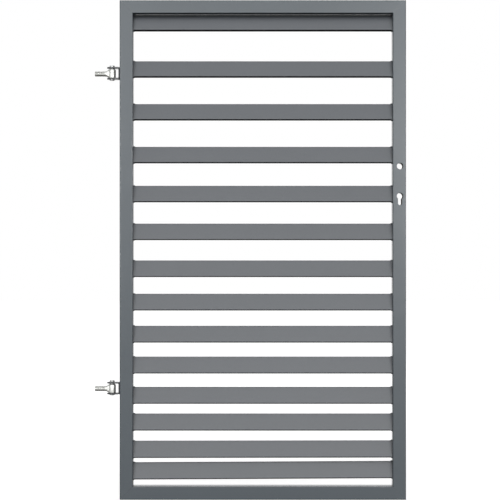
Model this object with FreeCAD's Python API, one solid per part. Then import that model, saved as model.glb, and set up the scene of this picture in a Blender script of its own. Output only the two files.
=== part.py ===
import FreeCAD, Part
import math
import os

from FreeCAD import Vector

# Wicket gate leaf of square steel tube and sloping sheet slats, hung on two adjustable hinges.
# Millimetres. +X runs along the leaf from the hinges to the lock, -Y is the front, +Z is up.
# The origin is the centre of the lower hinge stud's end face, where it meets the post.

# The frame of the leaf
LEAF_WIDTH = 860.0
LEAF_HEIGHT = 1500.0
TUBE = 40.0
TUBE_WALL = 2.0
TUBE_CORNER = 3.0

# The slats, folded from sheet: a face that leans back, a level flange and a lip turned down behind
SHEET = 1.5
SHEET_BEND = 1.5
SLAT_HEIGHT = 50.0
SLAT_DEPTH = 24.0
SLAT_FLANGE = 22.0
SLAT_LIP = 10.0
TOP_GAP = 0.4
FOOT_GAP = 21.5
# How the clear height between the rails is shared out between one slat and the next, from the top
GAP_SHARES = (89.5, 79.0, 79.0, 67.5, 64.0, 61.0, 50.5, 46.5, 43.0, 41.0, 30.5, 31.5, 13.5)
# How far the lock end of a slat sits above its hinge end, for the slats that are out of level
OUT_OF_LEVEL = {13: 1.2, 14: 4.0}

# The two hinges
LOWER_HINGE_HEIGHT = 332.5
UPPER_HINGE_DROP = 219.5
PIN_TO_LEAF = 24.0
STUD_DIAMETER = 16.0
STUD_LENGTH = 34.0
FLARE_LENGTH = 8.0
NECK_HEIGHT = 22.0
NECK_ACROSS_FLATS = 16.5
EYE_DIAMETER = 22.5
EYE_HEIGHT = 25.0
EYE_REACH = 17.5
PIN_DIAMETER = 8.0
PIN_RUNNING_FIT = 0.08
PIN_HOLE_PLAY = 0.25
WASHER_DIAMETER = 16.0
WASHER_THICKNESS = 3.0
SEAT_PLAY = 0.3
BRACKET_PLATE = 4.0
BRACKET_BEND = 2.0
BRACKET_WIDTH = 30.0
HEX_ACROSS_FLATS = 13.0
HEAD_HEIGHT = 5.3
NUT_HEIGHT = 3.5
BOLT_END = 0.5

# The places cut for a narrow mortise lock, all in the lock stile
HANDLE_HEIGHT = 1002.0
HANDLE_FROM_EDGE = 18.0
HANDLE_HOLE = 19.5
KEY_BELOW_HANDLE = 90.0
KEY_HOLE = 19.5
KEY_SLOT = 12.0
KEY_OVERALL = 37.0
LOCK_SLOT_WIDTH = 17.0
LOCK_SLOT_LENGTH = 176.0
LOCK_SLOT_CORNER = 3.0
LOCK_SCREW_SPACING = 206.0
LOCK_SCREW_HOLE = 4.2

# Cutters run this far past what they cut
PAST = 5.0

leaf_x = STUD_LENGTH + EYE_REACH + PIN_TO_LEAF
leaf_z = -LOWER_HINGE_HEIGHT
pin_x = leaf_x - PIN_TO_LEAF
lock_edge_x = leaf_x + LEAF_WIDTH
hinge_spacing = LEAF_HEIGHT - UPPER_HINGE_DROP - LOWER_HINGE_HEIGHT


def save(shape, name):
    os.makedirs("parts", exist_ok=True)
    shape.exportStep(f"parts/{name}.step")
    print(f"{name}: {shape.Volume / 1000:.1f} cm3, {len(shape.Solids)} solid, valid {shape.isValid()}")


def rounded_square(side, radius, height):
    """A prism of a square section with round corners, centred on Z and standing on the XY plane."""
    half = side / 2
    box = Part.makeBox(side, side, height, Vector(-half, -half, 0))
    upright = [e for e in box.Edges if abs(e.Vertexes[0].Z - e.Vertexes[1].Z) > height / 2]
    return box.makeFillet(radius, upright)


def square_tube(length):
    """A length of the frame's tube, centred on Z."""
    inner_radius = max(TUBE_CORNER - TUBE_WALL, 0.5)
    outside = rounded_square(TUBE, TUBE_CORNER, length)
    inside = rounded_square(TUBE - 2 * TUBE_WALL, inner_radius, length + 2 * PAST)
    return outside.cut(inside.translated(Vector(0, 0, -PAST)))


def mitred_tube(length):
    """A tube from corner to corner of the frame, its ends cut at 45 degrees, long side at X = 0."""
    reach = TUBE + PAST
    tube = square_tube(length).translated(Vector(TUBE / 2, 0, 0))
    corners = [(-PAST, -PAST), (reach, reach), (reach, length - reach), (-PAST, length + PAST)]
    outline = Part.makePolygon([Vector(x, -reach, z) for x, z in corners + corners[:1]])
    return tube.common(Part.Face(outline).extrude(Vector(0, 2 * reach, 0)))


def folded_section(points, thickness, inner_radius):
    """The section of a folded sheet in the YZ plane, from the corners of its middle line."""
    half = thickness / 2
    middle_radius = inner_radius + half
    path = [Vector(0, y, z) for y, z in points]
    directions = [(b - a).normalize() for a, b in zip(path, path[1:])]
    sides = {1: [], -1: []}
    starts = {side: path[0] + across(directions[0]) * (side * half) for side in sides}
    first = dict(starts)
    for corner, before, after in zip(path[1:], directions, directions[1:]):
        turn = before.getAngle(after)
        left = 1 if before.cross(after).x > 0 else -1
        setback = middle_radius * math.tan(turn / 2)
        centre = corner - before * setback + across(before) * (left * middle_radius)
        for side in sides:
            radius = middle_radius - side * left * half
            enter = centre - across(before) * (left * radius)
            leave = centre - across(after) * (left * radius)
            outward = (corner - centre).normalize()
            sides[side].append(Part.LineSegment(starts[side], enter).toShape())
            sides[side].append(Part.Arc(enter, centre + outward * radius, leave).toShape())
            starts[side] = leave
    last = {side: path[-1] + across(directions[-1]) * (side * half) for side in sides}
    for side in sides:
        sides[side].append(Part.LineSegment(starts[side], last[side]).toShape())
    caps = [Part.LineSegment(last[1], last[-1]).toShape(), Part.LineSegment(first[-1], first[1]).toShape()]
    return Part.Face(Part.Wire(Part.__sortEdges__(sides[1] + sides[-1] + caps)))


def across(direction):
    """The direction turned a quarter turn to its left, in the YZ plane."""
    return Vector(0, -direction.z, direction.y)


def tangent_corner(centre, radius, normal_a, normal_b):
    """Where two lines meet that touch a circle, from their unit normals: c + r (a + b) / (1 + a.b)."""
    both = normal_a + normal_b
    corner = centre + both * (radius / (1 + normal_a.dot(normal_b)))
    return corner.y, corner.z


def slat_section():
    """The slat's section, its foot at Z = 0 and its outside SLAT_DEPTH by SLAT_HEIGHT."""
    outer = SHEET + SHEET_BEND
    middle = SHEET_BEND + SHEET / 2
    front = Vector(0, -SLAT_DEPTH / 2 + outer, outer)
    rear = Vector(0, SLAT_DEPTH / 2 - outer, SLAT_HEIGHT - outer)
    face_normal = across((rear - front).normalize())
    low_corner = tangent_corner(front, middle, Vector(0, 0, -1), face_normal)
    high_corner = tangent_corner(rear, middle, face_normal, Vector(0, 1, 0))
    flange_end = (-SLAT_DEPTH / 2 + SLAT_FLANGE, SHEET / 2)
    lip_end = (SLAT_DEPTH / 2 - SHEET / 2, SLAT_HEIGHT - SLAT_LIP)
    return folded_section([flange_end, low_corner, high_corner, lip_end], SHEET, SHEET_BEND)


def slat(top, rise):
    """One slat between the stiles: its top edge at height top, its lock end raised by rise."""
    clear_width = LEAF_WIDTH - 2 * TUBE
    slope = rise / clear_width
    left = Vector(leaf_x + TUBE - PAST, 0, leaf_z + top - SLAT_HEIGHT - rise / 2 - PAST * slope)
    run = Vector(clear_width + 2 * PAST, 0, (clear_width + 2 * PAST) * slope)
    between = Part.makeBox(clear_width, TUBE, LEAF_HEIGHT, Vector(leaf_x + TUBE, -TUBE / 2, leaf_z))
    return slat_section().translated(left).extrude(run).common(between)


def slat_tops():
    """The heights of the slats' top edges above the leaf's foot, from the top down."""
    slat_count = len(GAP_SHARES) + 1
    clear_height = LEAF_HEIGHT - 2 * TUBE - TOP_GAP - FOOT_GAP - slat_count * SLAT_HEIGHT
    tops = [LEAF_HEIGHT - TUBE - TOP_GAP]
    for share in GAP_SHARES:
        gap = clear_height * share / sum(GAP_SHARES)
        tops.append(tops[-1] - SLAT_HEIGHT - gap)
    return tops


def hinge_stile():
    return mitred_tube(LEAF_HEIGHT).translated(Vector(leaf_x, 0, leaf_z))


def keyhole_cutter(centre_z):
    """The profile cylinder's hole: a round bore over a narrower slot with a round foot."""
    foot_z = centre_z + KEY_HOLE / 2 - KEY_OVERALL + KEY_SLOT / 2
    depth = TUBE + 2 * PAST
    middle_x = lock_edge_x - HANDLE_FROM_EDGE
    bore = Part.makeCylinder(KEY_HOLE / 2, depth, Vector(middle_x, -depth / 2, centre_z), Vector(0, 1, 0))
    foot = Part.makeCylinder(KEY_SLOT / 2, depth, Vector(middle_x, -depth / 2, foot_z), Vector(0, 1, 0))
    corner = Vector(middle_x - KEY_SLOT / 2, -depth / 2, foot_z)
    return bore.fuse([foot, Part.makeBox(KEY_SLOT, depth, centre_z - foot_z, corner)])


def lock_slot_cutter(centre_z):
    """The slot in the lock edge that takes the lock case, its corners round."""
    reach = TUBE_WALL + 2 * PAST
    corner = Vector(lock_edge_x - TUBE_WALL - PAST, -LOCK_SLOT_WIDTH / 2, centre_z - LOCK_SLOT_LENGTH / 2)
    slot = Part.makeBox(reach, LOCK_SLOT_WIDTH, LOCK_SLOT_LENGTH, corner)
    lengthwise = [e for e in slot.Edges if abs(e.Vertexes[0].X - e.Vertexes[1].X) > reach / 2]
    return slot.makeFillet(min(LOCK_SLOT_CORNER, LOCK_SLOT_WIDTH / 4), lengthwise)


def lock_stile():
    """The stile that takes the lock: handle hole, keyhole, lock case slot and two screw holes."""
    stile = mitred_tube(LEAF_HEIGHT).mirror(Vector(0, 0, 0), Vector(1, 0, 0))
    stile = stile.translated(Vector(lock_edge_x, 0, leaf_z))
    handle_z = leaf_z + HANDLE_HEIGHT
    key_z = handle_z - KEY_BELOW_HANDLE
    middle_z = (handle_z + key_z) / 2
    front = Vector(lock_edge_x - HANDLE_FROM_EDGE, -TUBE / 2 - PAST, handle_z)
    cutters = [Part.makeCylinder(HANDLE_HOLE / 2, TUBE + 2 * PAST, front, Vector(0, 1, 0)),
               keyhole_cutter(key_z), lock_slot_cutter(middle_z)]
    for side in (-1, 1):
        place = Vector(lock_edge_x - TUBE_WALL - PAST, 0, middle_z + side * LOCK_SCREW_SPACING / 2)
        cutters.append(Part.makeCylinder(LOCK_SCREW_HOLE / 2, TUBE_WALL + 2 * PAST, place, Vector(1, 0, 0)))
    return stile.cut(cutters)


def rail(height_of_outside, turn):
    """A rail from stile to stile; turn is -90 for the bottom rail and 90 for the top one."""
    lying = mitred_tube(LEAF_WIDTH).rotated(Vector(0, 0, 0), Vector(0, 1, 0), turn)
    start = leaf_x if turn > 0 else lock_edge_x
    return lying.translated(Vector(start, 0, leaf_z + height_of_outside))


def hexagon(height):
    """A hexagon prism standing on the XY plane, two of its corners on the X axis."""
    corner = HEX_ACROSS_FLATS / math.sqrt(3)
    points = [Vector(corner * math.cos(a), corner * math.sin(a), 0)
              for a in (math.radians(60 * i) for i in range(7))]
    return Part.Face(Part.makePolygon(points)).extrude(Vector(0, 0, height))


def hinge_levels(stud_z):
    """Heights of the bracket's inner faces and the washer's seat, from the stud's axis."""
    eye_top = stud_z + EYE_HEIGHT / 2
    lower_inner = stud_z - EYE_HEIGHT / 2 - SEAT_PLAY
    upper_inner = eye_top + SEAT_PLAY + WASHER_THICKNESS
    return lower_inner, upper_inner


def hinge_bracket(stud_z):
    """A bar folded into a U, its back on the stile, its arms rounded about the hinge pin."""
    lower_inner, upper_inner = hinge_levels(stud_z)
    half = BRACKET_PLATE / 2
    radius = BRACKET_WIDTH / 2
    back = PIN_TO_LEAF - half
    points = [(-radius, lower_inner - half), (back, lower_inner - half),
              (back, upper_inner + half), (-radius, upper_inner + half)]
    section = folded_section(points, BRACKET_PLATE, BRACKET_BEND)
    bar = section.extrude(Vector(BRACKET_WIDTH, 0, 0)).translated(Vector(-radius, 0, 0))
    bar = bar.rotated(Vector(0, 0, 0), Vector(0, 0, 1), -90)
    tall = upper_inner - lower_inner + 4 * BRACKET_PLATE
    foot = lower_inner - 2 * BRACKET_PLATE
    plan = Part.makeCylinder(radius, tall, Vector(0, 0, foot))
    plan = plan.fuse(Part.makeBox(PIN_TO_LEAF, BRACKET_WIDTH, tall, Vector(0, -radius, foot)))
    hole = Part.makeCylinder(PIN_DIAMETER / 2 + PIN_HOLE_PLAY, tall, Vector(0, 0, foot))
    return bar.common(plan).cut(hole).translated(Vector(pin_x, 0, 0))


def hinge_washer(stud_z):
    """The washer that the upper arm bears on, over the eye."""
    seat = hinge_levels(stud_z)[1] - WASHER_THICKNESS
    disc = Part.makeCylinder(WASHER_DIAMETER / 2, WASHER_THICKNESS, Vector(pin_x, 0, seat))
    return disc.cut(Part.makeCylinder(PIN_DIAMETER / 2 + PIN_HOLE_PLAY, WASHER_THICKNESS,
                                      Vector(pin_x, 0, seat)))


def hinge_bolt(stud_z):
    """The hinge pin: a hex head over the upper arm, a shank down through the nut."""
    lower_inner, upper_inner = hinge_levels(stud_z)
    head_seat = upper_inner + BRACKET_PLATE
    foot = lower_inner - BRACKET_PLATE - NUT_HEIGHT - BOLT_END
    shank = Part.makeCylinder(PIN_DIAMETER / 2, head_seat - foot, Vector(pin_x, 0, foot))
    return shank.fuse(hexagon(HEAD_HEIGHT).translated(Vector(pin_x, 0, head_seat)))


def hinge_nut(stud_z):
    """The thin nut drawn up under the lower arm."""
    seat = hinge_levels(stud_z)[0] - BRACKET_PLATE
    hole = Part.makeCylinder(PIN_DIAMETER / 2, NUT_HEIGHT)
    return hexagon(NUT_HEIGHT).cut(hole).translated(Vector(pin_x, 0, seat - NUT_HEIGHT))


def flare_and_neck():
    """The cone from the stud out to the neck's height and the neck on to the pin, pressed flat."""
    flare_end = STUD_LENGTH + FLARE_LENGTH
    along = Vector(1, 0, 0)
    cone = Part.makeCone(STUD_DIAMETER / 2, NECK_HEIGHT / 2, FLARE_LENGTH, Vector(STUD_LENGTH, 0, 0), along)
    neck = Part.makeCylinder(NECK_HEIGHT / 2, pin_x - flare_end, Vector(flare_end, 0, 0), along)
    flats = Part.makeBox(pin_x - STUD_LENGTH, NECK_ACROSS_FLATS, EYE_HEIGHT,
                         Vector(STUD_LENGTH, -NECK_ACROSS_FLATS / 2, -EYE_HEIGHT / 2))
    return cone.fuse(neck).common(flats)


def hinge_stud(stud_z):
    """The forged eye stud: a round stud that flares out into the neck of its upright eye."""
    stud = Part.makeCylinder(STUD_DIAMETER / 2, STUD_LENGTH, Vector(0, 0, 0), Vector(1, 0, 0))
    eye = Part.makeCylinder(EYE_DIAMETER / 2, EYE_HEIGHT, Vector(pin_x, 0, -EYE_HEIGHT / 2))
    forging = stud.fuse([flare_and_neck(), eye])
    bore = Part.makeCylinder(PIN_DIAMETER / 2 + PIN_RUNNING_FIT, EYE_HEIGHT + 2 * PAST,
                             Vector(pin_x, 0, -EYE_HEIGHT / 2 - PAST))
    return forging.cut(bore).translated(Vector(0, 0, stud_z))


save(hinge_stile(), "hinge_stile")
save(lock_stile(), "lock_stile")
save(rail(0, -90), "bottom_rail")
save(rail(LEAF_HEIGHT, 90), "top_rail")
for number, top in enumerate(slat_tops(), start=1):
    save(slat(top, OUT_OF_LEVEL.get(number, 0.0)), f"slat_{number:02d}")
for name, stud_z in (("lower", 0.0), ("upper", hinge_spacing)):
    save(hinge_stud(stud_z), f"{name}_hinge_stud")
    save(hinge_bracket(stud_z), f"{name}_hinge_bracket")
    save(hinge_bolt(stud_z), f"{name}_hinge_bolt")
    save(hinge_nut(stud_z), f"{name}_hinge_nut")
    save(hinge_washer(stud_z), f"{name}_hinge_washer")
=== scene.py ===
# %% [markdown]
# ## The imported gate
# The gate's solids were made in CAD, in millimetres, and packed with the two hinges' joint. Here
# they are loaded in metres as a frame that stays fixed: nothing below moves or reshapes them. The
# size of their box is kept, so that the last cell can tell what the new pieces add to it.

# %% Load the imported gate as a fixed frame
import math

import bpy
import numpy as np
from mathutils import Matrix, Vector


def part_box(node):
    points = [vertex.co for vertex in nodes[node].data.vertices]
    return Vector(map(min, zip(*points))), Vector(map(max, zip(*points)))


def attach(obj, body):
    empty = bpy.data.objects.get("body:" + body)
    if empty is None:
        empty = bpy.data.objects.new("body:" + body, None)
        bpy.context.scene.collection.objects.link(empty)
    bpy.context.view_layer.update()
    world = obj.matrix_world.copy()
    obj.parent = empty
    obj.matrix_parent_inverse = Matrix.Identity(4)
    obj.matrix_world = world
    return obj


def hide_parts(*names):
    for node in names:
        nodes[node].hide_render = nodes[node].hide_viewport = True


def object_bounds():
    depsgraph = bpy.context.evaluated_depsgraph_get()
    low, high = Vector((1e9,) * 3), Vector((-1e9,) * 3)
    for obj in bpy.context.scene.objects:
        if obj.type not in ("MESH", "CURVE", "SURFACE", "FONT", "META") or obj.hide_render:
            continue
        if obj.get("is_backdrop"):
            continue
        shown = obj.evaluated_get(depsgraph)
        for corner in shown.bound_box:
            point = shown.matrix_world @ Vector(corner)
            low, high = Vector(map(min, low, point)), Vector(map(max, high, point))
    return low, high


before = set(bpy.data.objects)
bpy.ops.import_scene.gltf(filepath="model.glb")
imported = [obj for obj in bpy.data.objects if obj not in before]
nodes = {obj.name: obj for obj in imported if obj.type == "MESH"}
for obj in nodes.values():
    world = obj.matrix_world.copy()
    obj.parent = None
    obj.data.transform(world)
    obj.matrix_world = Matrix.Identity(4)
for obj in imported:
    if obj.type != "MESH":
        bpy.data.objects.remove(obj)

cad_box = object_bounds()

# %% [markdown]
# ## What is made here, and from what
# The object is a garden wicket gate: a leaf of square steel tube filled with fourteen folded
# sheet slats, under a satin powder coat, on two adjustable hinges of bright zinc plate.
# The solids come from CAD. They already have the right main shapes, so they keep their places
# and get finishes. What a welder and a thread roller add is made here, in metres:
# the weld beads, the rolled threads, the forged eyes and the hexagons of the hinge bolts.
# +X runs from the hinges to the lock, -Y is the front and +Z is up.

# %% Sizes that several pieces share
MM = 0.001
TUBE = 40 * MM
TUBE_WALL = 2 * MM
leaf_low, leaf_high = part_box("hinge_stile")[0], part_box("lock_stile")[1]
stile_face_x = {"hinge": leaf_low.x + TUBE, "lock": leaf_high.x - TUBE}
leaf_centre = (leaf_low + leaf_high) / 2
front_y = leaf_low.y
print("leaf:", [round(1000 * v) for v in leaf_high - leaf_low], "mm")

# %% [markdown]
# ## Camera
# The view is square on to the leaf, from far enough away that the rails show only a thin strip
# of their inner sides, and the holes in the lock stile only a thin dark crescent of the rear
# wall. A lens of 115 mm from 4.8 m gives both. The picture is a little wider to the hinge side,
# where the studs stand out, so the camera stands 38.5 mm off the leaf's middle.

# %% Camera
CAMERA_DISTANCE = 4.8
PICTURE_WIDTH = 1.5007
CAMERA_OFFSET_X = -38.5 * MM

camera_data = bpy.data.cameras.new("camera")
camera_data.sensor_width = 36.0
camera_data.lens = camera_data.sensor_width * CAMERA_DISTANCE / PICTURE_WIDTH
camera_data.dof.use_dof = False
camera = bpy.data.objects.new("camera", camera_data)
camera.location = (leaf_centre.x + CAMERA_OFFSET_X, front_y - CAMERA_DISTANCE, leaf_centre.z)
camera.rotation_euler = (math.radians(90), 0, 0)
bpy.context.scene.collection.objects.link(camera)
bpy.context.scene.camera = camera
bpy.context.scene.view_settings.view_transform = "Standard"
print("lens:", round(camera_data.lens), "mm")

# %% [markdown]
# ## Small helpers for materials
# Every finish is a tree of shader nodes. A few short functions keep the trees readable: one makes
# a node and joins or sets its sockets, and the others make the kinds that come up most.

# %% Helpers for shader trees
def shader(tree, kind, sockets=None, **settings):
    """Makes a node. sockets holds a value, or another node's output, for each input."""
    made = tree.nodes.new(kind)
    for key, value in settings.items():
        setattr(made, key, value)
    for key, value in (sockets or {}).items():
        if isinstance(value, bpy.types.NodeSocket):
            tree.links.new(value, made.inputs[key])
        else:
            made.inputs[key].default_value = value
    return made


def maths(tree, operation, *values, clamp=False):
    """The result of one Math node on up to three values."""
    sockets = dict(enumerate(values))
    return shader(tree, "ShaderNodeMath", sockets, operation=operation, use_clamp=clamp).outputs[0]


def noise(tree, where, scale, detail=2.0):
    """A smooth random value from 0 to 1, with scale blobs to the metre."""
    sockets = {"Vector": where, "Scale": scale, "Detail": detail}
    return shader(tree, "ShaderNodeTexNoise", sockets).outputs["Fac"]


def spread(tree, value, low, high, start=0.3, end=0.7):
    """Stretches the part of value from start to end over low to high."""
    sockets = {"Value": value, "From Min": start, "From Max": end, "To Min": low, "To Max": high}
    return shader(tree, "ShaderNodeMapRange", sockets).outputs["Result"]


def blended(tree, amount, first, second):
    """Two colours mixed by amount."""
    made = shader(tree, "ShaderNodeMix", data_type="RGBA")
    for index, value in ((0, amount), (6, first), (7, second)):
        if isinstance(value, bpy.types.NodeSocket):
            tree.links.new(value, made.inputs[index])
        else:
            made.inputs[index].default_value = value
    return made.outputs[2]


def new_finish(name):
    """An empty material, with its tree, its main shader and its Object coordinates."""
    material = bpy.data.materials.new(name)
    material.use_nodes = True
    tree = material.node_tree
    main = tree.nodes["Principled BSDF"]
    where = shader(tree, "ShaderNodeTexCoord").outputs["Object"]
    return material, tree, main, where


print("helpers:", [helper.__name__ for helper in (shader, maths, noise, spread, blended, new_finish)])

# %% [markdown]
# ## Colours from screen levels
# Shaders work with linear light, but a grey is judged on a screen, whose levels run from 0 to
# 255 on a bent scale. The sRGB formula turns the one into the other, so every colour below can be
# given as it looks.

# %% Colours
def grey(red, green, blue):
    """A colour from its sRGB levels of 0 to 255."""
    levels = np.array([red, green, blue]) / 255
    linear = np.where(levels <= 0.04045, levels / 12.92, ((levels + 0.055) / 1.055) ** 2.4)
    return (*(float(v) for v in linear), 1.0)


print("a grey of 128 reflects", round(grey(128, 128, 128)[0], 3), "of the light")


# %% [markdown]
# ## Where a surface is worn, on a corner or turned down
# Edges wear, and round corners and undersides get painted shade, so the finishes need to know
# which way a surface faces. A Bevel node gives the normal of a rounded edge, and where it
# differs from the plain normal, there is an edge. The plain normal tells the tubes' corners and
# the undersides. It is read in the gate's own axes, because the leaf turns. Painting the masks by
# hand would do too, but a rule holds for all slats at once.

# %% Masks from the surface's slope
EDGE_ROUND = 0.6 * MM
EDGE_DOTS = (0.85, 0.995)
CORNER_SLOPES = (0.88, 0.98)


def edge_of(tree):
    """A rounded normal, and a mask that is 1 where the rounded and plain normals' dot is low."""
    rounded = shader(tree, "ShaderNodeBevel", {"Radius": EDGE_ROUND}, samples=4).outputs[0]
    plain = shader(tree, "ShaderNodeNewGeometry").outputs["Normal"]
    dot = shader(tree, "ShaderNodeVectorMath", {0: rounded, 1: plain}, operation="DOT_PRODUCT")
    return rounded, spread(tree, dot.outputs["Value"], 1.0, 0.0, *EDGE_DOTS)


def slopes(tree):
    """x, y and z of the surface's normal in the gate's own axes."""
    normal = shader(tree, "ShaderNodeNewGeometry").outputs["Normal"]
    turned = shader(tree, "ShaderNodeVectorTransform", {0: normal}, vector_type="NORMAL",
                    convert_from="WORLD", convert_to="OBJECT").outputs[0]
    return shader(tree, "ShaderNodeSeparateXYZ", {0: turned}).outputs


def corner_of(tree, slope):
    """A mask that is 1 where the largest of the normal's x, y and z is small, as on a corner."""
    sizes = [maths(tree, "ABSOLUTE", slope[i]) for i in range(3)]
    most = maths(tree, "MAXIMUM", maths(tree, "MAXIMUM", sizes[0], sizes[1]), sizes[2])
    return spread(tree, most, 1.0, 0.0, *CORNER_SLOPES)


print("edges are shaded as if rounded by", round(1000 * EDGE_ROUND, 1), "mm")

# %% [markdown]
# ## Marks on the frame
# The tubes are cut at 45 degrees and welded, and the ground weld leaves a hairline across each
# corner. Behind the lock's holes the steel is bare, and painted near black as the shade inside
# the tube. Both follow from distances to the leaf's outer faces, so two masks find them, and the
# CAD solids need no more edges.

# %% Mitre lines and the inside of the stiles
SEAM_REACH = (0.2 * MM, 1.3 * MM)
INSIDE_DEPTH = 0.95 * TUBE_WALL


def frame_marks(tree, where):
    """Two masks: a hairline on the mitres, and the inside of the stiles.

    The hairline is where the distances to the two outer edges are equal. The inside is where the
    least of the distances to the stile's outer faces is more than its wall's thickness.
    """
    x, y, z = (shader(tree, "ShaderNodeSeparateXYZ", {0: where}).outputs[i] for i in range(3))
    from_side = maths(tree, "MINIMUM", maths(tree, "SUBTRACT", x, leaf_low.x),
                      maths(tree, "SUBTRACT", leaf_high.x, x))
    from_end = maths(tree, "MINIMUM", maths(tree, "SUBTRACT", z, leaf_low.z),
                     maths(tree, "SUBTRACT", leaf_high.z, z))
    apart = maths(tree, "ABSOLUTE", maths(tree, "SUBTRACT", from_side, from_end))
    line = spread(tree, apart, 1.0, 0.0, *SEAM_REACH)
    from_front = maths(tree, "SUBTRACT", TUBE / 2, maths(tree, "ABSOLUTE", y))
    deep = maths(tree, "MINIMUM", from_side, maths(tree, "SUBTRACT", TUBE, from_side))
    deep = maths(tree, "MINIMUM", maths(tree, "MINIMUM", deep, from_front), from_end)
    return line, maths(tree, "GREATER_THAN", deep, INSIDE_DEPTH)


print("bare from a depth of", round(1000 * INSIDE_DEPTH, 1), "mm")

# %% [markdown]
# ## Painted shade below and on corners
# Under a slat's front fold, on the lower corners of tubes and bars, and on all round corners of
# the tubes, the coat is painted dark and matt as shade, with less shine. Slats and tubes need a
# rule each, because a slat's back also looks down but is left as it is. More materials would do
# too, but one can't fade into the next.

# %% Painted shade below and on corners
FOLD_SLOPES, BACK_SLOPES = (-0.4, 0.3), (0.1, 0.4)
TUBE_SLOPES, FLAT_SLOPES = (-0.35, -0.1), (-0.99, -0.96)


def painted_shade_below(tree, slope, folded):
    """Painted shade: under a slat's front fold, or on the lower corners of a tube or bar.

    A slat's back also faces down, but is left out, and so is the flat between two lower corners.
    """
    if folded:
        down = spread(tree, slope[2], 1.0, 0.0, *FOLD_SLOPES)
        return maths(tree, "MULTIPLY", down, spread(tree, slope[1], 1.0, 0.0, *BACK_SLOPES))
    down = spread(tree, slope[2], 1.0, 0.0, *TUBE_SLOPES)
    return maths(tree, "MULTIPLY", down, spread(tree, slope[2], 0.0, 1.0, *FLAT_SLOPES))


# Between these slopes a tube's lower corners get painted shade.
print("a tube is thinly coated where its slope is between", TUBE_SLOPES[0], "and", FLAT_SLOPES[1])

# %% [markdown]
# ## Powder coat
# The steel is sprayed with powder and baked. The skin is satin, hardly uneven in tone, with the
# fine ripple that painters call orange peel, and it wears pale on sharp edges. The tone and the
# gloss come from broad noise, and the peel from fine noise through a Bump node. Where slats and
# tubes meet, painted shade darkens the coat: an Ambient Occlusion node, which measures how much
# open space is near a point, finds those corners. Inside the tubes the bare steel is painted near
# black as shade. Painted image maps would do too, but this file reads none.

# %% Powder coat
TONE_BLOBS, GLOSS_BLOBS, WEAR_BLOBS, PEEL_BLOBS, SPECK_BLOBS = 2.6, 16.0, 90.0, 420.0, 1500.0
TONE_SWING, GLOSS_SWING = 0.03, 0.012
SPECK_SHARE, WEAR_SHARES, SEAM_SHARE = 0.10, (0.05, 0.30), 0.3
PEEL_DEPTH, SEAM_DEPTH, BUMP_STRENGTH = 0.04 * MM, 0.1 * MM, 0.7
CORNER_REACH, CORNER_OPEN = 14 * MM, (0.1, 0.9)
# Strengths of painted shade: where parts meet, and on the tubes' round corners.
OCCLUSION_SHADE_SHARE, ROUND_CORNER_SHADE = 0.85, 0.6
# Shine of the plain coat, and of its painted shade.
SHINE_FULL, SHINE_SHADED = 0.5, 0.03
SPECK_GREY, WORN_GREY = grey(190, 190, 190), grey(205, 207, 208)
# Greys of painted shade: where parts meet, and below folds and on corners.
OCCLUSION_SHADE_GREY, PAINTED_SHADE_GREY = grey(30, 31, 32), grey(24, 25, 26)
# The second grey is bare steel, painted near black as the shade inside the tubes.
SEAM_GREY, BARE_STEEL_IN_SHADE = grey(48, 51, 54), grey(26, 25, 24)


def times(colour, factor):
    """A colour with its red, green and blue times factor."""
    return (*(factor * v for v in colour[:3]), 1.0)


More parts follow.
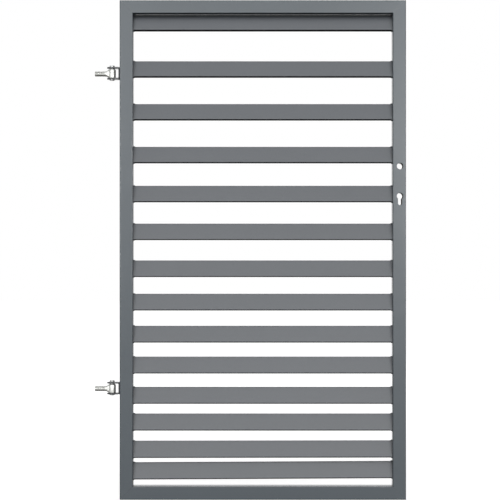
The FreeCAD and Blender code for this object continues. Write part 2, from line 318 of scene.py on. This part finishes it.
def powder_coat(name, colour, roughness, mitred=False, folded=False):
    """Colour, roughness, shine and bump, each a blend of the plain coat, its marks and painted shade.
    """
    material, tree, main, where = new_finish(name)
    rounded, edge = edge_of(tree)
    tone = spread(tree, noise(tree, where, TONE_BLOBS, 3.0), 0.0, 1.0)
    coat = blended(tree, tone, times(colour, 1 - TONE_SWING), times(colour, 1 + TONE_SWING))
    speckle = spread(tree, noise(tree, where, SPECK_BLOBS, 1.0), 0.0, SPECK_SHARE)
    coat = blended(tree, speckle, coat, SPECK_GREY)
    # Painted shade: the coat darkens where little open space is near, where slats and tubes meet.
    open_space = shader(tree, "ShaderNodeAmbientOcclusion", {"Distance": CORNER_REACH}, samples=6)
    occlusion_shade = spread(tree, open_space.outputs["AO"], OCCLUSION_SHADE_SHARE, 0.0, *CORNER_OPEN)
    coat = blended(tree, occlusion_shade, coat, OCCLUSION_SHADE_GREY)
    worn = maths(tree, "MULTIPLY", edge, spread(tree, noise(tree, where, WEAR_BLOBS), *WEAR_SHARES))
    coat = blended(tree, worn, coat, WORN_GREY)
    gloss = spread(tree, noise(tree, where, GLOSS_BLOBS, 3.0),
                   roughness - GLOSS_SWING, roughness + GLOSS_SWING)
    height = maths(tree, "MULTIPLY", noise(tree, where, PEEL_BLOBS), PEEL_DEPTH)
    slope = slopes(tree)
    # Painted shade: dark, matt and with less shine below folds and on the tubes' corners.
    painted_shade = painted_shade_below(tree, slope, folded)
    if mitred:
        corner = maths(tree, "MULTIPLY", corner_of(tree, slope), ROUND_CORNER_SHADE)
        painted_shade = maths(tree, "MAXIMUM", painted_shade, corner)
    coat = blended(tree, painted_shade, coat, PAINTED_SHADE_GREY)
    gloss = maths(tree, "MAXIMUM", gloss, painted_shade)
    shine = spread(tree, painted_shade, SHINE_FULL, SHINE_SHADED, 0.0, 1.0)
    if mitred:
        line, inside = frame_marks(tree, where)
        coat = blended(tree, maths(tree, "MULTIPLY", line, SEAM_SHARE), coat, SEAM_GREY)
        # Painted shade: inside the tubes the bare steel is near black.
        coat = blended(tree, inside, coat, BARE_STEEL_IN_SHADE)
        gloss = maths(tree, "MAXIMUM", gloss, inside)
        height = maths(tree, "SUBTRACT", height, maths(tree, "MULTIPLY", line, SEAM_DEPTH))
    bump = shader(tree, "ShaderNodeBump", {"Height": height, "Strength": BUMP_STRENGTH,
                                           "Distance": 1.0, "Normal": rounded}).outputs[0]
    for result, socket in ((coat, "Base Color"), (gloss, "Roughness"),
                           (shine, "Specular IOR Level"), (bump, "Normal")):
        tree.links.new(result, main.inputs[socket])
    return material


frame_coat = powder_coat("frame_coat", grey(95, 106, 114), 0.26, mitred=True)
slat_coat = powder_coat("slat_coat", grey(107, 112, 118), 0.36, folded=True)
bracket_coat = powder_coat("bracket_coat", grey(42, 46, 50), 0.36)
print("coats:", [m.name for m in (frame_coat, slat_coat, bracket_coat)])

# %% [markdown]
# ## Zinc plate
# The studs and bolts are bright zinc over turned and forged steel: a metal with a cool, slightly
# milky mirror, faint rings from the lathe and small dull patches. Below it is painted darker, as
# shade.
# The rings are noise that a Mapping node squeezes along the lathe's axis. Real grooves would do
# too, but they are finer than a hair.

# %% Zinc plate
LATHE_BLOBS, ALONG_BLOBS, CLOUD_BLOBS = 2600.0, 60.0, 130.0
DULL_SHARE = 0.86
EDGE_SHARE = 0.5
# Slopes over which the zinc gets painted shade below.
UNDERSIDE_SHADE_SLOPES = (-0.6, -0.25)
GLOSS_DULL, GLOSS_BRIGHT, GLOSS_TURNED = 0.05, -0.03, 0.03
TURNED_DEPTH = 0.012 * MM
TURNED_STRENGTH = 0.6
# The second grey is painted shade on the zinc's underside.
EDGE_ZINC, ZINC_UNDERSIDE_SHADE = grey(225, 225, 222), grey(96, 95, 91)


def zinc_plate(name, colour, roughness, lathe_axis):
    """Colour and roughness by cloudy noise, with bright edges, painted shade below and turned rings.
    """
    material, tree, main, where = new_finish(name)
    rounded, edge = edge_of(tree)
    squeeze = [ALONG_BLOBS] * 3
    squeeze[lathe_axis] = LATHE_BLOBS
    rings = shader(tree, "ShaderNodeMapping", {"Vector": where, "Scale": squeeze}).outputs[0]
    turning = noise(tree, rings, 1.0)
    cloud = spread(tree, noise(tree, where, CLOUD_BLOBS, 3.0), 0.0, 1.0)
    plate = blended(tree, cloud, times(colour, DULL_SHARE), colour)
    plate = blended(tree, maths(tree, "MULTIPLY", edge, EDGE_SHARE), plate, EDGE_ZINC)
    # Painted shade: the plate is darker where it faces down.
    plate = blended(tree, spread(tree, slopes(tree)[2], 1.0, 0.0, *UNDERSIDE_SHADE_SLOPES), plate, ZINC_UNDERSIDE_SHADE)
    gloss = maths(tree, "ADD",
                  spread(tree, cloud, roughness + GLOSS_DULL, roughness + GLOSS_BRIGHT, 0.0, 1.0),
                  spread(tree, turning, -GLOSS_TURNED, GLOSS_TURNED))
    height = maths(tree, "MULTIPLY", turning, TURNED_DEPTH)
    bump = shader(tree, "ShaderNodeBump", {"Height": height, "Strength": TURNED_STRENGTH,
                                           "Distance": 1.0, "Normal": rounded}).outputs[0]
    main.inputs["Metallic"].default_value = 1.0
    for result, socket in ((plate, "Base Color"), (gloss, "Roughness"), (bump, "Normal")):
        tree.links.new(result, main.inputs[socket])
    return material


stud_zinc = zinc_plate("stud_zinc", grey(178, 179, 176), 0.44, lathe_axis=0)
bolt_zinc = zinc_plate("bolt_zinc", grey(146, 147, 147), 0.36, lathe_axis=2)
print("plates:", [m.name for m in (stud_zinc, bolt_zinc)])

# %% [markdown]
# ## Which solid gets which finish
# A solid from CAD comes with one material slot, and swapping the material in it is all that it
# needs. The finishes read Object coordinates, which are the same for the whole gate, so the
# tone runs on from a rail into a stile, as it does on a leaf that is sprayed in one go.

# %% Give the CAD nodes their finishes
def finish_node(name, material):
    """Puts a material into a CAD node's one slot."""
    node = nodes[name]
    if node.material_slots:
        node.material_slots[0].material = material
    else:
        node.data.materials.append(material)


for name in ("hinge_stile", "lock_stile", "top_rail", "bottom_rail"):
    finish_node(name, frame_coat)
slat_names = sorted(name for name in nodes if name.startswith("slat_"))
for name in slat_names:
    finish_node(name, slat_coat)
for side in ("lower", "upper"):
    finish_node(f"{side}_hinge_bracket", bracket_coat)
    finish_node(f"{side}_hinge_stud", stud_zinc)
    for part in ("washer", "bolt", "nut"):
        finish_node(f"{side}_hinge_{part}", bolt_zinc)
print("slats:", len(slat_names))

# %% [markdown]
# ## Skins from grids of points
# Each new piece is a skin over a grid: rows of points, each row a closed ring. The grid comes
# from a formula on whole arrays, so a piece costs no loop over its points. A skin either ends in
# two caps or closes on itself like a ring. Its faces are turned outwards by the sign of its
# volume. Box modelling would do for one bead, but there are over sixty of them.

# %% Skins
SHARP_TURN = 35


def outward_quads(grid, loop):
    """The faces of a grid [row, ring, 3] as corner numbers, and whether they had to stay as made.

    The sum of a . (b x c + c x d) over the faces a b c d has the sign of the skin's volume.
    Where it is negative, all faces are turned round.
    """
    rows, ring = grid.shape[:2]
    steps = rows if loop else rows - 1
    row, place = np.meshgrid(np.arange(steps), np.arange(ring), indexing="ij")
    here, along = row * ring + place, row * ring + (place + 1) % ring
    next_row = ((row + 1) % rows - row) * ring
    quads = np.stack([here, along, along + next_row, here + next_row], axis=-1).reshape(-1, 4)
    points = grid.reshape(-1, 3) - grid.reshape(-1, 3).mean(0)
    a, b, c, d = (points[quads[:, i]] for i in range(4))
    volume = np.einsum("ij,ij->", a, np.cross(b, c) + np.cross(c, d))
    return quads if volume > 0 else quads[:, ::-1], volume > 0


def piece(name, skins, material, body, replaced=()):
    """One mesh object from (grid, loop) skins, on its body and in place of its CAD nodes."""
    points, faces, count = [], [], 0
    for grid, loop in skins:
        quads, kept = outward_quads(grid, loop)
        faces += (quads + count).tolist()
        if not loop:
            first = np.arange(grid.shape[1]) + count
            last = first + (grid.shape[0] - 1) * grid.shape[1]
            caps = (first[::-1], last) if kept else (first, last[::-1])
            faces += [cap.tolist() for cap in caps]
        points.append(grid.reshape(-1, 3))
        count += points[-1].shape[0]
    mesh = bpy.data.meshes.new(name)
    mesh.from_pydata(np.concatenate(points).tolist(), [], faces)
    mesh.polygons.foreach_set("use_smooth", np.ones(len(mesh.polygons), bool))
    mesh.set_sharp_from_angle(angle=math.radians(SHARP_TURN))
    mesh.materials.append(material)
    made = bpy.data.objects.new(name, mesh)
    bpy.context.scene.collection.objects.link(made)
    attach(made, body)
    if replaced:
        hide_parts(*replaced)
    print(name, "has", len(faces), "faces")


trial_turn = np.linspace(0, 2 * np.pi, 8, endpoint=False)
trial_ring = np.stack([np.cos(trial_turn), np.sin(trial_turn), 0 * trial_turn], axis=-1)
trial_quads, kept = outward_quads(np.stack([trial_ring, trial_ring + (0, 0, 1)]), False)
print("a tube of two rings of 8 points has", len(trial_quads), "faces, turned round:", not kept)


# %% [markdown]
# ## Weld beads
# A fillet weld fills the corner between two plates with a slightly swollen strip. It is a little
# wavy along its length, because the puddle freezes in ripples, and it fades out at both ends.
# The coat runs over it. The section is carried along a path, with one leg on each plate.

# %% Weld beads
BEAD_SWELL = 0.45
BEAD_SUNK = 0.5 * MM
BEAD_POINTS = 7
END_SIZE = 0.3
END_POWER = 8
RIPPLE = 1.7 * MM
RIPPLE_SHARE = 0.06


def bead(path, first_way, second_way, first_leg, second_leg, phase=0.0):
    """A fillet bead: legs L1 and L2 along unit directions u and v from each path point.

    With t from 0 to 1 round the section, the point is
    p + u L1 (swell cos(90 t) + (1 - swell)(1 - t)) + v L2 (swell sin(90 t) + (1 - swell) t).
    Along the path, the legs fade with sqrt(1 - |2 s - 1|^8) and ripple with a sine.
    """
    steps = np.linalg.norm(np.diff(path, axis=0), axis=1)
    run = np.concatenate([[0.0], np.cumsum(steps)])
    share = run / run[-1]
    fade = END_SIZE + (1 - END_SIZE) * np.sqrt(np.clip(1 - np.abs(2 * share - 1) ** END_POWER, 0, 1))
    size = fade * (1 + RIPPLE_SHARE * np.sin(2 * np.pi * run / RIPPLE + phase))
    t = np.linspace(0, 1, BEAD_POINTS)
    turn = np.pi / 2 * t
    near = BEAD_SWELL * np.cos(turn) + (1 - BEAD_SWELL) * (1 - t)
    far = BEAD_SWELL * np.sin(turn) + (1 - BEAD_SWELL) * t
    u, v = first_way[:, None, :], second_way[:, None, :]
    scale = size[:, None, None]
    legs = u * first_leg * near[None, :, None] + v * second_leg * far[None, :, None]
    arc = path[:, None, :] + scale * legs
    root = path[:, None, :] - BEAD_SUNK * (u + v)
    return np.concatenate([arc, root], axis=1)


half_way = BEAD_SWELL * math.cos(math.pi / 4) + (1 - BEAD_SWELL) / 2
print("a bead's throat is", round(math.sqrt(2) * half_way, 2), "of its leg, and 0.71 on a flat one")


# %% [markdown]
# ## The outline of a slat
# A slat is sheet folded twice: a lip down its back, a leaning face and a level flange under it.
# The welds follow two stretches of its outline, over the rear fold and under the front one, so
# they are worked out here from the sizes of the fold. Reading them off the CAD mesh would do
# too, but its points lie unevenly.

# %% Slat outline
SLAT_DEPTH = 24 * MM
SLAT_HEIGHT = 50 * MM
SLAT_FLANGE = 22 * MM
SLAT_LIP = 10 * MM
FOLD_RADIUS = 3 * MM

front_fold = np.array([-SLAT_DEPTH / 2 + FOLD_RADIUS, FOLD_RADIUS])
rear_fold = np.array([SLAT_DEPTH / 2 - FOLD_RADIUS, SLAT_HEIGHT - FOLD_RADIUS])
face_way = (rear_fold - front_fold) / np.linalg.norm(rear_fold - front_fold)
face_turn = math.atan2(face_way[0], -face_way[1])


def round_fold(centre, start, end, count=14):
    """Points c + r (cos a, sin a) and their normals, for a from start to end."""
    a = np.linspace(start, end, count)
    normals = np.stack([np.cos(a), np.sin(a)], axis=1)
    return centre + FOLD_RADIUS * normals, normals


def straight(start, end, normal, count=10):
    """Points start (1 - t) + end t after the start, all with one normal."""
    t = np.linspace(0, 1, count + 1)[1:, None]
    return np.asarray(start) * (1 - t) + np.asarray(end) * t, np.repeat([normal], count, axis=0)


def joined(*stretches):
    """Stretches of points and normals end to end."""
    return tuple(np.concatenate(arrays) for arrays in zip(*stretches))


lip_top, lip_end = (SLAT_DEPTH / 2, rear_fold[1]), (SLAT_DEPTH / 2, SLAT_HEIGHT - SLAT_LIP)
flange_start, flange_end = (front_fold[0], 0.0), (SLAT_FLANGE - SLAT_DEPTH / 2, 0.0)
crest = joined(round_fold(rear_fold, face_turn, 0.0), straight(lip_top, lip_end, (1.0, 0.0)))
underside = joined(round_fold(front_fold, math.radians(190), math.radians(270)),
                   straight(flange_start, flange_end, (0.0, -1.0), 18))
print("a slat's face leans back by", round(math.degrees(math.atan2(*face_way))), "degrees")

# %% [markdown]
# ## How the slats are welded in
# Each slat end has two short beads on the stile: one over the rear fold and down the lip, and
# one under the flange. From the front they show as small ears at the slat's corners, longest on
# the top slat. Straight beads would be simpler, but they would stand off the round folds.

# %% Slat welds
EAR_LENGTH = 5.5 * MM
EAR_HEIGHT = 2.4 * MM
TOP_EAR_LENGTH = 1.5 * EAR_LENGTH
UNDER_EAR_LENGTH, UNDER_EAR_HEIGHT = 0.8 * EAR_LENGTH, 0.8 * EAR_HEIGHT


def slat_end_foot(name, x):
    """The height of a slat's lowest edge at one of its ends, from its CAD mesh."""
    points = np.zeros(3 * len(nodes[name].data.vertices))
    nodes[name].data.vertices.foreach_get("co", points)
    points = points.reshape(-1, 3)
    return points[np.abs(points[:, 0] - x) < MM, 2].min()


def slat_bead(outline, x, inward, foot, length, height, phase):
    """A bead along a section outline, one leg along the slat and one up the stile's wall."""
    flat, normals = outline
    blank = np.zeros(len(flat))
    path = np.stack([blank + x, flat[:, 0], flat[:, 1] + foot], axis=1)
    away = np.stack([blank + inward, blank, blank], axis=1)
    up_wall = np.stack([blank, normals[:, 0], normals[:, 1]], axis=1)
    return bead(path, away, up_wall, length, height, phase), False


for side, x in stile_face_x.items():
    inward = 1.0 if side == "hinge" else -1.0
    beads = []
    for number, name in enumerate(slat_names):
        foot = slat_end_foot(name, x)
        headroom = leaf_high.z - TUBE - foot - SLAT_HEIGHT
        length, height = EAR_LENGTH if number else TOP_EAR_LENGTH, min(EAR_HEIGHT, headroom)
        beads.append(slat_bead(crest, x, inward, foot, length, height, number))
        beads.append(slat_bead(underside, x, inward, foot, UNDER_EAR_LENGTH, UNDER_EAR_HEIGHT,
                               number + 2))
    piece(f"slat_welds_{side}_side", beads, slat_coat, "leaf")

# %% [markdown]
# ## How the brackets are welded on
# A bar folded into a U is welded to the stile all round its back: a bead down each side, and one
# in the groove that each bend leaves at the top and at the foot. They are the slats' kind of
# bead with larger legs.

# %% Bracket welds
BEAD_STEPS = 60
SIDE_INSET, GROOVE_INSET = 3 * MM, MM
SIDE_LEGS = (2.6 * MM, 2.0 * MM)
GROOVE_LEGS = (4.4 * MM, 4.6 * MM)
GROOVE_DEPTH = 4 * MM


def all_along(*value):
    """One direction, repeated for every step of a bead."""
    return np.repeat([value], BEAD_STEPS, axis=0)


toward_pin = all_along(-1.0, 0.0, 0.0)
for side in ("lower", "upper"):
    low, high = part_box(f"{side}_hinge_bracket")
    wall = np.full(BEAD_STEPS, leaf_low.x)
    up = np.linspace(low.z + SIDE_INSET, high.z - SIDE_INSET, BEAD_STEPS)
    across_bar = np.linspace(low.y + GROOVE_INSET, high.y - GROOVE_INSET, BEAD_STEPS)
    beads = []
    for sign, y in ((-1.0, low.y), (1.0, high.y)):
        path = np.stack([wall, np.full(BEAD_STEPS, y), up], axis=1)
        beads.append((bead(path, toward_pin, all_along(0.0, sign, 0.0), *SIDE_LEGS, sign), False))
    for sign, z in ((1.0, high.z), (-1.0, low.z)):
        groove = np.full(BEAD_STEPS, z - sign * GROOVE_DEPTH)
        path = np.stack([wall, across_bar, groove], axis=1)
        beads.append((bead(path, toward_pin, all_along(0.0, 0.0, sign), *GROOVE_LEGS, sign), False))
    piece(f"{side}_bracket_welds", beads, bracket_coat, "leaf")

# %% [markdown]
# ## The threaded stud
# The stud screws into a nut in the post, so the gate can be set level. Its thread is rolled: a
# triangle wave wound round a bar. Behind it the bar was forged out, higher and a little thinner,
# into the neck of the eye. One skin does both: rings round X, whose outline turns from a circle
# into a rounded oblong. A Screw modifier could wind the thread, but it couldn't run out into the
# flare.

# %% Threaded stud and flare
STUD_RADIUS = 8 * MM
THREAD_PITCH = 2 * MM
THREAD_DEPTH = 0.8 * MM
THREAD_END = 31 * MM
FLARE_START = 33.5 * MM
FLARE_END = 41.0 * MM
NECK_HALF_HEIGHT = 11 * MM
NECK_HALF_WIDTH = 7.6 * MM
ROUND_POWER, OBLONG_GAIN = 2.0, 1.6
RUN_OUT = 2 * MM
STUD_CHAMFER = 1.3 * MM
RINGS_PER_TURN, FLARE_RINGS, STUD_POINTS = 8, 26, 64


def eased(value, start, end):
    """0 before start, 1 after end, and t t (3 - 2 t) between them."""
    t = np.clip((value - start) / (end - start), 0, 1)
    return t * t * (3 - 2 * t)


def thread_cut(along, turn, pitch, depth):
    """What a thread takes off a radius: depth times the triangle wave of along / pitch - turn / 360.

    The wave is stretched a little and clipped, which leaves small flats on crests and roots.
    """
    wave = np.abs(2 * ((along / pitch - turn / (2 * np.pi)) % 1) - 1)
    return depth * np.clip(1.25 * wave - 0.1, 0, 1)


def stud_skin(stud_z, neck_end):
    """Rings round X of radius (|cos a / w|^n + |sin a / h|^n)^(-1/n) less what the thread cuts.

    Half width w, half height h and the power n grow over the flare, and the end is chamfered.
    """
    x = np.concatenate([np.arange(0, THREAD_END + RUN_OUT, THREAD_PITCH / RINGS_PER_TURN),
                        np.linspace(FLARE_START, neck_end, FLARE_RINGS)])[:, None]
    a = np.linspace(0, 2 * np.pi, STUD_POINTS, endpoint=False)[None, :]
    flare = eased(x, FLARE_START, FLARE_END)
    high = STUD_RADIUS + (NECK_HALF_HEIGHT - STUD_RADIUS) * flare
    wide = STUD_RADIUS + (NECK_HALF_WIDTH - STUD_RADIUS) * flare
    n = ROUND_POWER + OBLONG_GAIN * flare
    radius = (np.abs(np.cos(a) / wide) ** n + np.abs(np.sin(a) / high) ** n) ** (-1 / n)
    running = 1 - eased(x, THREAD_END - RUN_OUT, THREAD_END)
    radius = radius - thread_cut(x, a, THREAD_PITCH, THREAD_DEPTH) * running
    radius = np.minimum(radius, STUD_RADIUS - STUD_CHAMFER + x)
    return np.stack([x + 0 * a, radius * np.cos(a), stud_z + radius * np.sin(a)], axis=-1)


print("thread:", round(THREAD_END / THREAD_PITCH, 1), "turns")


# %% [markdown]
# ## Turned rings
# The eye is turned on a lathe after forging, and the washer is stamped. Each is a closed profile
# swept round the pin, its four corners rounded off. A Bevel modifier would round them as well,
# but with the profile in hand a corner is five more points.

# %% Turned rings
RING_POINTS, CORNER_POINTS = 72, 5
ring_angles = np.linspace(0, 2 * np.pi, RING_POINTS, endpoint=False)


def turned(centre_x, profile, loop=True):
    """Rings round Z from a list of (radius, height) pairs, each a number or an array of angles."""
    radius = np.stack([r + 0 * ring_angles for r, _ in profile])
    height = np.stack([z + 0 * ring_angles for _, z in profile])
    x, y = centre_x + radius * np.cos(ring_angles), radius * np.sin(ring_angles)
    return np.stack([x, y, height], axis=-1), loop


def ring_corner(radius, height, rounding, outward, upward):
    """Points round a profile corner: c + q (sin a, cos a), for a from 0 to 90 degrees."""
    a = np.linspace(0, np.pi / 2, CORNER_POINTS)
    if outward != upward:
        a = a[::-1]
    centre = (radius - outward * rounding, height - upward * rounding)
    return list(zip(centre[0] + outward * rounding * np.sin(a),
                    centre[1] + upward * rounding * np.cos(a)))


def rounded_ring(centre_x, inner, outer, low_z, high_z, rounding):
    """A ring whose four profile corners are rounded, its profile walked round once."""
    return turned(centre_x, [*ring_corner(outer, high_z, rounding, 1, 1),
                             *ring_corner(outer, low_z, rounding, 1, -1),
                             *ring_corner(inner, low_z, rounding / 2, -1, -1),
                             *ring_corner(inner, high_z, rounding / 2, -1, 1)])


print("a ring is", 4 * CORNER_POINTS, "by", RING_POINTS, "points")

# %% [markdown]
# ## The hexagon bolt and its nut
# A bolt head is turned too, with a radius that follows a hexagon, and its corners are cut away by
# a cone at 30 degrees. The nut has that cone on both faces. The heads are left without marks.
# The bolt's thread is the stud's, finer. A boolean of a cone and a prism would give the same head,
# but its faces would need cleaning up.

# %% Bolt and nut
PIN_RADIUS = 4 * MM
HEX_FLAT = 6.5 * MM
CONE = math.tan(math.radians(30))
BOLT_PITCH, BOLT_THREAD_DEPTH = 1.25 * MM, 0.6 * MM
BOLT_TAPER, THREAD_FROM, THREAD_TO, SHANK_FROM = 1.2 * MM, 0.8 * MM, 9 * MM, 9.5 * MM
BOLT_RING_STEP = 0.16 * MM
COLLAR_RADIUS, COLLAR_HEIGHT = 0.92 * HEX_FLAT, 0.3 * MM
DISH_OUTER, DISH_INNER, DISH_DEPTH = 0.7 * HEX_FLAT, 0.6 * HEX_FLAT, 0.15 * MM
NUT_OVERLAP, NUT_CHAMFER = 0.1 * MM, 0.5 * MM

hexagon = HEX_FLAT / np.cos(ring_angles % (np.pi / 3) - np.pi / 6)
bevel_radius = 0.95 * HEX_FLAT
cut_back = CONE * np.clip(hexagon - bevel_radius, 0, None)


def bolt_skin(centre_x, foot, seat, top):
    """From the foot up: a tapered end, the thread, the plain shank, then the head's hexagon."""
    z = np.arange(foot + THREAD_FROM, foot + THREAD_TO, BOLT_RING_STEP)[:, None]
    thread = PIN_RADIUS - thread_cut(z, ring_angles, BOLT_PITCH, BOLT_THREAD_DEPTH)
    under_head = seat + COLLAR_HEIGHT
    return turned(centre_x, [
        (PIN_RADIUS - BOLT_TAPER, foot), *zip(thread, z),
        (PIN_RADIUS, foot + SHANK_FROM), (PIN_RADIUS, seat),
        (COLLAR_RADIUS, seat), (COLLAR_RADIUS, under_head), (hexagon, under_head + 0.2 * cut_back),
        (hexagon, top - cut_back), (bevel_radius, top), (DISH_OUTER, top),
        (DISH_INNER, top - DISH_DEPTH)], loop=False)


def nut_skin(centre_x, low_z, high_z):
    """A closed profile: the bore with a chamfer at each end, and the hexagon with its two cones."""
    bore = PIN_RADIUS - NUT_OVERLAP
    return turned(centre_x, [
        (bore, high_z - NUT_CHAMFER), (bore + NUT_CHAMFER, high_z), (bevel_radius, high_z),
        (hexagon, high_z - cut_back), (hexagon, low_z + cut_back), (bevel_radius, low_z),
        (bore + NUT_CHAMFER, low_z), (bore, low_z + NUT_CHAMFER)])


print("hexagon:", round(2000 * HEX_FLAT), "mm over flats,",
      round(2000 * hexagon.max(), 1), "mm over corners")

# %% [markdown]
# ## The parts of both hinges
# Each part takes its place and size from the box of the CAD solid that it replaces, so the fits
# and the pin's axis stay as they were packed. The stud with its eye stays with the post's side
# of the joint, and the bolt, nut and washer turn with the leaf.

# %% Hinge parts
EYE_RADIUS, EYE_PLAY, EYE_ROUND = 11.25 * MM, 0.08 * MM, 1.0 * MM
NECK_OVERLAP = 6 * MM
WASHER_PLAY, WASHER_ROUND = 0.25 * MM, 0.4 * MM

for side in ("lower", "upper"):
    low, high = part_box(f"{side}_hinge_stud")
    pin_x, stud_z = high.x - EYE_RADIUS, (low.z + high.z) / 2
    neck = stud_skin(stud_z, pin_x - NECK_OVERLAP), False
    eye = rounded_ring(pin_x, PIN_RADIUS + EYE_PLAY, EYE_RADIUS, low.z, high.z, EYE_ROUND)
    piece(f"{side}_stud_with_eye", [neck, eye], stud_zinc,
          "hinge_studs", [f"{side}_hinge_stud"])
    low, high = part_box(f"{side}_hinge_bolt")
    arm_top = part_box(f"{side}_hinge_bracket")[1].z
    piece(f"{side}_hexagon_bolt", [bolt_skin(pin_x, low.z, arm_top, high.z)], bolt_zinc,
          "leaf", [f"{side}_hinge_bolt"])
    low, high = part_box(f"{side}_hinge_nut")
    piece(f"{side}_hexagon_nut", [nut_skin(pin_x, low.z, high.z)], bolt_zinc,
          "leaf", [f"{side}_hinge_nut"])
    low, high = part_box(f"{side}_hinge_washer")
    washer = rounded_ring(pin_x, PIN_RADIUS + WASHER_PLAY, (high.x - low.x) / 2, low.z, high.z,
                          WASHER_ROUND)
    piece(f"{side}_stamped_washer", [washer], bolt_zinc,
          "leaf", [f"{side}_hinge_washer"])

# %% [markdown]
# ## Floor and backdrop
# The gate hangs 50 mm above a plain pale floor. The picture's white comes from the floor's and
# the world's own colour where the camera looks straight at them, and never from stronger lamps:
# Light Path tells such a ray from the light that falls on the gate. Near the gate the lamps' own
# light makes up most of the white, so the floor still takes the gate's shadow. Far off, where
# hardly any of it arrives, the glow does.

# %% Floor
FLOOR_GAP = 50 * MM
FLOOR_SIZE = 40.0
FLOOR_GLOWS = (0.64, 0.82)
GLOW_REACH = (1.5, 6.0)
FLOOR_BOUNCE = 0.12
FLOOR_GREY = grey(225, 225, 225)


def stage_piece(name, points, faces, material):
    """One mesh object that belongs to the stage, not to the gate."""
    mesh = bpy.data.meshes.new(name)
    mesh.from_pydata(points, [], faces)
    mesh.materials.append(material)
    made = bpy.data.objects.new(name, mesh)
    bpy.context.scene.collection.objects.link(made)
    made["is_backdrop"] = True


def bare_material(name):
    """A material with only its output, its tree, and the socket for its surface."""
    material = bpy.data.materials.new(name)
    material.use_nodes = True
    tree = material.node_tree
    tree.nodes.remove(tree.nodes["Principled BSDF"])
    return material, tree, tree.nodes["Material Output"].inputs["Surface"]


def even(level):
    """A colour with one level for red, green and blue."""
    return (level, level, level, 1.0)


def shown_to(tree):
    """1 for rays that show the background: the camera's, and those in reflections and in glass."""
    ray = shader(tree, "ShaderNodeLightPath").outputs
    seen = maths(tree, "MAXIMUM", ray["Is Camera Ray"], ray["Is Glossy Ray"])
    return maths(tree, "MAXIMUM", seen, ray["Is Transmission Ray"])


floor_paint, tree, surface = bare_material("floor_paint")
seen = shown_to(tree)
tint = blended(tree, seen, even(FLOOR_BOUNCE), FLOOR_GREY)
paint = shader(tree, "ShaderNodeBsdfDiffuse", {"Color": tint}).outputs[0]
where = shader(tree, "ShaderNodeTexCoord").outputs["Object"]
away = shader(tree, "ShaderNodeVectorMath", {0: where, 1: leaf_centre}, operation="DISTANCE")
strength = spread(tree, away.outputs["Value"], *FLOOR_GLOWS, *GLOW_REACH)
shown = maths(tree, "MULTIPLY", seen, strength)
glow = shader(tree, "ShaderNodeEmission", {"Strength": shown}).outputs[0]
tree.links.new(shader(tree, "ShaderNodeAddShader", {0: paint, 1: glow}).outputs[0], surface)

floor_z = leaf_low.z - FLOOR_GAP
half = FLOOR_SIZE / 2
corners = [(x * half, y * half, floor_z) for x, y in ((-1, -1), (1, -1), (1, 1), (-1, 1))]
stage_piece("floor", corners, [(0, 1, 2, 3)], floor_paint)
print("floor at", round(1000 * floor_z), "mm")

# %% [markdown]
# ## World
# Around the stage is an even sky. It lights the gate gently from all sides at SKY, and looks white
# where the camera or a reflection shows it. A picture of a real studio could do this too, but
# this file reads none.

# %% World
SKY = 0.3

world = bpy.data.worlds.new("studio")
bpy.context.scene.world = world
world.use_nodes = True
tree = world.node_tree
sky_colour = blended(tree, shown_to(tree), even(SKY), even(1.0))
tree.links.new(sky_colour, tree.nodes["Background"].inputs["Color"])
print("sky:", SKY, "on the gate, 1.0 behind it")

# %% [markdown]
# ## Lamps
# The light is a plain studio's. Three wide lamps hang one above the other in front and one stands
# behind. The slats lean back and see the high ones, so they stay even. Two low lamps at the sides
# only make highlights: the upright tubes mirror them, less and less towards the foot, and so shade
# from light to dark as on the photographed gate. Their light would flatten the slats, and so it is
# kept off matt surfaces. One sun lamp could not do both.

# %% Lamps
# Each lamp: its radiance, azimuth and elevation in degrees, and its width and height in metres.
LAMPS = {
    "front_low_left": (15.8, -24.0, 5.0, (2.0, 1.25)),
    "front_low_right": (24.2, 24.0, 5.0, (2.0, 1.25)),
    "front_mid": (1.55, 0.0, 15.0, (6.0, 1.25)),
    "front_high": (3.0, 0.0, 30.0, (6.0, 1.25)),
    "front_top": (2.2, 0.0, 45.0, (6.0, 1.25)),
    "behind": (3.0, 175.0, 30.0, (4.0, 2.0)),
}
LAMP_DISTANCE = 6.0
HIGHLIGHT_LAMPS = ("front_low_left", "front_low_right")


def softbox(name, radiance, azimuth, elevation, size):
    """A flat lamp that faces the leaf's centre; azimuth 0 is the front."""
    turn, lift = math.radians(azimuth), math.radians(elevation)
    out = Vector((math.sin(turn) * math.cos(lift), -math.cos(turn) * math.cos(lift), math.sin(lift)))
    data = bpy.data.lights.new(name, "AREA")
    data.shape = "RECTANGLE"
    data.size, data.size_y = size
    data.energy = radiance * math.pi * size[0] * size[1]
    lamp = bpy.data.objects.new(name, data)
    lamp.location = leaf_centre + out * LAMP_DISTANCE
    lamp.rotation_mode = "QUATERNION"
    lamp.rotation_quaternion = out.to_track_quat("Z", "Y")
    lamp.visible_diffuse = name not in HIGHLIGHT_LAMPS
    bpy.context.scene.collection.objects.link(lamp)
    return lamp


for name, settings in LAMPS.items():
    print(name, "gives", round(softbox(name, *settings).data.energy), "W")

# %% [markdown]
# ## Measure and finish
# Welds, threads and eyes stand where the CAD solids stand, so the dressed gate has to be as big
# as the plain one. Both boxes are measured, and the growth on each side is printed.

# %% Measure and finish
made_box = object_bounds()
growth = (*(cad_box[0] - made_box[0]), *(made_box[1] - cad_box[1]))
print("grown, low and high x y z, mm:", [round(1000 * v, 1) for v in growth])
